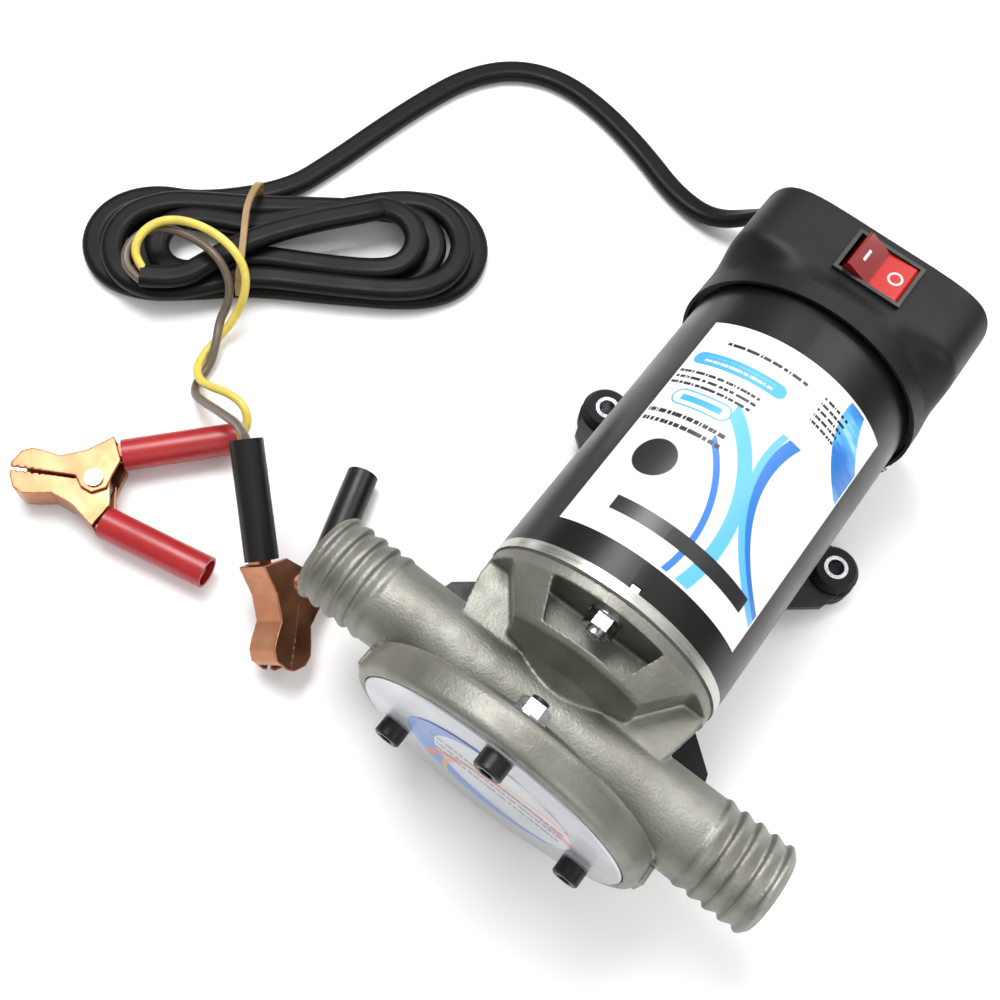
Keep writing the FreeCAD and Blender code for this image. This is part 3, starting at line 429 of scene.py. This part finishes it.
MATERIALS = {
    "cast_body": cast_metal(),
    "turned_aluminium": turned_metal(),
    "label_print": label_print(),
    "cover_print": cover_print(),
    "clip_copper": copper_plate(),
    "cover_plate": grained("cover_plate", (0.55, 0.56, 0.58), 0.34, 0.8, patch=0.02, grain=0.0004,
                           stretch=(12, 1, 1)).material,
    "black_rubber": moulded("black_rubber", (0.007, 0.007, 0.007), 0.62, Specular_IOR_Level=0.25),
    "black_screw": grained("black_screw", (0.018, 0.018, 0.019), 0.38, 0.6, patch=0.004).material,
    "zinc": grained("zinc", (0.40, 0.41, 0.43), 0.27, 1.0, patch=0.003, shade=0.2).material,
    "impeller_brass": grained("impeller_brass", (0.68, 0.47, 0.18), 0.3, 1.0).material,
    "steel": grained("steel", (0.52, 0.52, 0.52), 0.26, 1.0, patch=0.004).material,
    "gasket_paper": grained("gasket_paper", (0.10, 0.11, 0.10), 0.8).material,
    "black_paint": grained("black_paint", (0.0050, 0.0050, 0.0056), 0.33, 0.0, patch=0.03,
                           grain=0.0009, depth=0.00002, spread=0.05, Coat_Weight=0.06,
                           Coat_Roughness=0.3, Specular_IOR_Level=0.28).material,
    "ferrite": grained("ferrite", (0.05, 0.05, 0.055), 0.6).material,
    "core_steel": grained("core_steel", (0.22, 0.22, 0.23), 0.4, 1.0, stretch=(30, 1, 30)).material,
    "copper": grained("copper", (0.72, 0.30, 0.14), 0.3, 1.0, patch=0.003).material,
    "laminate": grained("laminate", (0.30, 0.15, 0.05), 0.5).material,
    "brass": grained("brass", (0.68, 0.50, 0.20), 0.3, 1.0).material,
    "carbon": grained("carbon", (0.03, 0.03, 0.03), 0.6, 0.3).material,
    "black_plastic": moulded("black_plastic", (0.0075, 0.0077, 0.0075), 0.46, 0.0004, 0.00007,
                             Specular_IOR_Level=0.22),
    "switch_black": grained("switch_black", (0.012, 0.012, 0.012), 0.3).material,
    "red_rocker": rocker_red(),
    "cable_black": moulded("cable_black", (0.0036, 0.0036, 0.0038), 0.42, 0.0007, 0.00003,
                           Specular_IOR_Level=0.15),
    "bracket_black": grained("bracket_black", (0.006, 0.006, 0.0065), 0.42, 0.0, patch=0.01,
                             Specular_IOR_Level=0.28).material,
    "tie_brown": grained("tie_brown", (0.30, 0.185, 0.075), 0.5, stretch=(1, 1, 6)).material,
    "yellow_wire": grained("yellow_wire", (0.66, 0.52, 0.09), 0.34, patch=0.006, spread=0.05).material,
    "brown_wire": grained("brown_wire", (0.115, 0.085, 0.058), 0.34, patch=0.006, spread=0.05).material,
    "red_sleeve": moulded("red_sleeve", (0.36, 0.009, 0.012), 0.36, 0.0012, 0.00003,
                          Coat_Weight=0.12, Coat_Roughness=0.2, Subsurface_Weight=0.1,
                          Subsurface_Scale=0.001),
    "black_sleeve": moulded("black_sleeve", (0.006, 0.006, 0.006), 0.34, 0.0012, 0.00003,
                            Specular_IOR_Level=0.32),
    "spring_steel": grained("spring_steel", (0.22, 0.22, 0.23), 0.3, 1.0, patch=0.002).material,
}

# ---------------------------------------------------------------- cords, in route order
CABLE_W, CABLE_T, WIRE_D = 8.2, 5.5, 3.0
CABLE_ROUTE = [(-15, 119.2, 45), (-16, 137, 42), (-29, 151, 31), (-47, 147, 14), (-62, 141, 4.5),
               (-80, 143, 2.75), (-100, 151, 2.75), (-122, 157.2, 2.75), (-144, 159.2, 2.75),
               (-162, 152, 2.75), (-174, 136, 2.75), (-180, 114, 2.75), (-184, 92, 2.75),
               (-187.5, 70, 2.75), (-192, 50, 2.75)]
YELLOW_ROUTE = [(-198.4, -13.4, 15.8), (-203.4, -12.6, 18), (-206.7, -9.2, 20.5), (-207.3, -3.2, 22.5),
                (-204.3, 2.9, 24), (-197.6, 7.3, 25), (-188.5, 9.5, 25.4), (-178.9, 9.4, 24.8),
                (-170.8, 6.9, 21.6), (-167.6, 1.7, 15.1), (-167.5, -4.8, 8.6), (-168.7, -12.2, 4),
                (-168.9, -19.8, 2.8), (-166.3, -26.4, 4.6), (-160.8, -30.2, 7.6),
                (-154.5, -30.2, 10.2), (-148.8, -29.4, 12.4), (-143.6, -29.2, 13.4),
                (-139.0, -30.2, 12.8), (-136.0, -33.2, 10.8), (-135.8, -36.6, 8.6),
                (-137.6, -39.4, 7.5)]
BROWN_ROUTE = [(-197.2, -16.6, 15.8), (-202.8, -17.2, 17.4), (-207.4, -14.0, 19.0),
               (-209.6, -8.0, 19.3), (-208.0, -1.4, 19.8), (-201.8, 3.4, 20.8), (-192.4, 5.4, 21.2),
               (-182.5, 5.2, 21.0), (-175.0, 2.4, 17.4), (-171.6, -2.4, 12.0), (-171.4, -8.5, 7.6),
               (-166.8, -15.5, 6.4), (-164.2, -22.2, 2.6), (-164, -28.5, 2.0), (-160.1, -34.4, 5),
               (-153, -36, 10.1), (-145.4, -37.4, 16.5), (-137.8, -39, 23), (-131.3, -40.6, 29.1),
               (-126, -43, 34.2), (-121.5, -45.6, 38.6), (-120.2, -46.8, 37.8)]
WAIST, ALONG = Vector((-185.0, 22.5, 0.0)), Vector((0.769, 0.639, 0.0))
ACROSS = Vector((-0.639, 0.769, 0.0))
# right end, its half width and offset; left end, its half width and offset; waist; height
TURNS = [(83, 22.0, 0.5, -57, 20.5, 3.0, 15.2, 2.8), (67, 13.2, -0.5, -41, 12.4, 2.0, 6.6, 2.8),
         (77, 20.0, -1.5, -49, 19.0, -2.5, 14.4, 8.4), (60, 12.4, -1.0, -33, 12.0, -2.0, 6.0, 8.4)]
LAST_SPAN = [(44.0, 9.0, 13.8), (22.0, 4.0, 14.0), (2.0, -3.0, 14.0), (-12.0, -12.0, 14.0),
             (-23.0, -20.5, 14.2), (-35.5, -19.5, 15.6)]


def hank_spot(along, across, height):
    return WAIST + ALONG * along + ACROSS * across + Vector((0, 0, height))


def hank_points():
    """Route of the gathered turns: each is an oblong loop pinched at the tie."""
    spots = []
    for k, (right, wide, lift, left, narrow, drop, waist, level) in enumerate(TURNS):
        final = k + 1 == len(TURNS)
        after = 13.0 if final else TURNS[k + 1][7]
        upper = waist if final else TURNS[k + 1][6]
        mid_r, mid_l = right - wide, left + narrow
        lap = [(mid_l * 0.5, (waist + drop + narrow) / 2 + 0.5)]
        lap += [(mid_l - narrow * math.sin(math.radians(a)), drop + narrow * math.cos(math.radians(a)))
                for a in (0, 45, 90, 135, 180)]
        lap += [(mid_l * 0.5, (drop - narrow - waist) / 2 - 0.5), (0.0, -waist),
                (mid_r * 0.5, (lift - wide - waist) / 2 - 0.5)]
        lap += [(mid_r + wide * math.sin(math.radians(a)), lift + wide * math.cos(math.radians(a)))
                for a in (180, 135, 90, 45, 0)]
        if not final:
            lap += [(mid_r * 0.5, (upper + lift + wide) / 2 + 0.5), (0.0, upper)]
        # the cord climbs to the next level on its way round the right lobe
        for j, (u, v) in enumerate(lap):
            rise = min(1.0, max(0.0, (j - 8) / 5))
            spots.append(hank_spot(u, v, level + (after - level) * rise))
    return spots + [hank_spot(*spot) for spot in LAST_SPAN]


def nurbs(name, points, material, tilts=None):
    """One open NURBS spline through control points in metres."""
    curve = bpy.data.curves.new(name, "CURVE")
    curve.dimensions = "3D"
    spline = curve.splines.new("NURBS")
    spline.points.add(len(points) - 1)
    for k, (point, spot) in enumerate(zip(spline.points, points)):
        point.co = (*spot, 1.0)
        point.tilt = tilts[k] if tilts else 0.0
    spline.order_u = 3
    spline.use_endpoint_u = True
    spline.resolution_u = 8
    curve.use_fill_caps = True
    curve.materials.append(material)
    return link(bpy.data.objects.new(name, curve))


def twin_profile():
    """Cross-section of the flat twin cord: two round cores side by side under one sheath."""
    curve = bpy.data.curves.new("twin_profile", "CURVE")
    curve.dimensions = "2D"
    spline = curve.splines.new("POLY")
    corners, steps = [], 28
    for k in range(steps):
        turn = 2 * math.pi * k / steps
        c, s = math.cos(turn), math.sin(turn)
        width, height = CABLE_W / 2, CABLE_T / 2 * (1 - 0.10 * math.exp(-(c / 0.28) ** 2))
        corners.append((width * math.copysign(abs(c) ** 0.8, c),
                        height * math.copysign(abs(s) ** 0.8, s)))
    spline.points.add(len(corners) - 1)
    for point, (x, y) in zip(spline.points, corners):
        point.co = (x * MM, y * MM, 0, 1)
    spline.use_cyclic_u = True
    return bpy.data.objects.new("twin_profile", curve)


def line_of(obj):
    """Points along a cord's own spline."""
    bare = obj.copy()
    bare.data = obj.data.copy()
    bare.data.bevel_mode, bare.data.bevel_depth, bare.data.bevel_object = "ROUND", 0.0, None
    mesh = bpy.data.meshes.new_from_object(bare)
    spots = [v.co.copy() for v in mesh.vertices]
    bpy.data.meshes.remove(mesh)
    return spots


def elastic_tie():
    """Thin flat band stretched round the waist of the turns, a little askew."""
    bm = bmesh.new()
    rings, steps = [], 72
    reach, middle, rise = 20.6, 9.3, 8.7
    for k in range(steps):
        turn = 2 * math.pi * k / steps
        c, sn = math.cos(turn), math.sin(turn)
        across = reach * math.copysign(abs(c) ** 0.55, c)
        height = middle + rise * math.copysign(abs(sn) ** 0.5, sn) * (1 - 0.07 * (c * c))
        along = 3.2 * c + 0.5 * math.sin(3 * turn)
        outward = Vector((0, c, sn)).normalized()
        for half, out in ((-1.25, 0.0), (1.25, 0.0), (1.05, 0.75), (-1.05, 0.75)):
            spot = hank_spot(along + half + 0.12 * math.sin(7 * turn), across + out * outward.y,
                             height + out * outward.z)
            rings.append(bm.verts.new(spot * MM))
    for k in range(steps):
        here, there = rings[4 * k:4 * k + 4], rings[4 * ((k + 1) % steps):4 * ((k + 1) % steps) + 4]
        for j in range(4):
            bm.faces.new((here[j], here[(j + 1) % 4], there[(j + 1) % 4], there[j]))
    bmesh.ops.recalc_face_normals(bm, faces=bm.faces)
    return finished("elastic_tie", bm, MATERIALS["tie_brown"], "pump", "tie_brown", "hank_tie",
                    sharp=50.0)


elastic_tie()
for colour in ("red", "black"):
    for half in ("wired", "free"):
        soften(f"{colour}_clip_{half}_jaw", 0.00030, 2)


def add_cords():
    route = mm(*CABLE_ROUTE) + [p * MM for p in hank_points()]
    tilts = [0.0] * len(route)
    for k, degrees in ((0, 90), (1, 80), (2, 60), (3, 35), (4, 10)):
        tilts[k] = math.radians(degrees)
    cable = nurbs("flat_cable", route, MATERIALS["cable_black"], tilts)
    cable.data.twist_mode = "Z_UP"
    cable.data.bevel_mode, cable.data.bevel_object = "OBJECT", twin_profile()
    wires = []
    for colour, way in (("yellow", YELLOW_ROUTE), ("brown", BROWN_ROUTE)):
        wire = nurbs(colour + "_lead", mm(*way), MATERIALS[colour + "_wire"])
        wire.data.bevel_depth, wire.data.bevel_resolution = WIRE_D / 2 * MM, 3
        wires.append(wire)
    for piece, nodes, slot in ((cable, ("power_cable", "cable_hank"), "cable_black"),
                               (wires[0], ("wire_yellow",), "yellow_wire"),
                               (wires[1], ("wire_brown",), "brown_wire")):
        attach(piece, "pump")
        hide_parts(*nodes)
        line = line_of(piece)


add_cords()


# ---------------------------------------------------------------- studio
def studio():
    bm = bmesh.new()
    bmesh.ops.create_grid(bm, x_segments=8, y_segments=8, size=3.0)
    mesh = bpy.data.meshes.new("floor")
    bm.to_mesh(mesh)
    bm.free()
    floor = link(bpy.data.objects.new("floor", mesh))
    floor.location = (0, 0, -0.0002)
    ground = Paint("floor_paper", (0.93, 0.93, 0.93), 0.8)
    ground.vary(0.4, 0.985, 1.0)
    paint(floor, ground.material)
    world = bpy.data.worlds.new("studio")
    world.use_nodes = True
    tree = world.node_tree
    coords = tree.nodes.new("ShaderNodeTexCoord")
    split = tree.nodes.new("ShaderNodeSeparateXYZ")
    tree.links.new(coords.outputs["Generated"], split.inputs[0])
    sky = tree.nodes.new("ShaderNodeValToRGB")
    tree.links.new(split.outputs[2], sky.inputs["Fac"])
    sky.color_ramp.elements[0].position, sky.color_ramp.elements[1].position = 0.05, 0.75
    sky.color_ramp.elements[0].color = (0.30, 0.30, 0.31, 1)
    sky.color_ramp.elements[1].color = (1.0, 1.0, 1.0, 1)
    tree.links.new(sky.outputs["Color"], tree.nodes["Background"].inputs["Color"])
    tree.nodes["Background"].inputs["Strength"].default_value = 0.72
    bpy.context.scene.world = world
    for name, place, size, power in (("key", (-0.45, 0.25, 1.15), 0.6, 13.0),
                                     ("fill", (0.9, -0.5, 0.8), 0.9, 5.0),
                                     ("back", (0.3, 0.95, 0.9), 0.8, 6.5)):
        light = bpy.data.lights.new(name, "AREA")
        light.size, light.energy = size, power
        lamp = link(bpy.data.objects.new(name, light))
        lamp.location = place
        aim = Vector((-0.03, 0.02, 0.04)) - lamp.location
        lamp.rotation_euler = aim.to_track_quat("-Z", "Y").to_euler()
    bpy.context.scene.view_settings.view_transform = "Standard"


studio()

# ---------------------------------------------------------------- CAD nodes get their materials
for subpart in frame["record"]["subparts"]:
    node = NODES[subpart["node"]]
    paint(node, MATERIALS[subpart["material_slot"]])

recast("pump_body", "pump_casting", 0.00050, 3, MATERIALS["cast_body"], "pump")
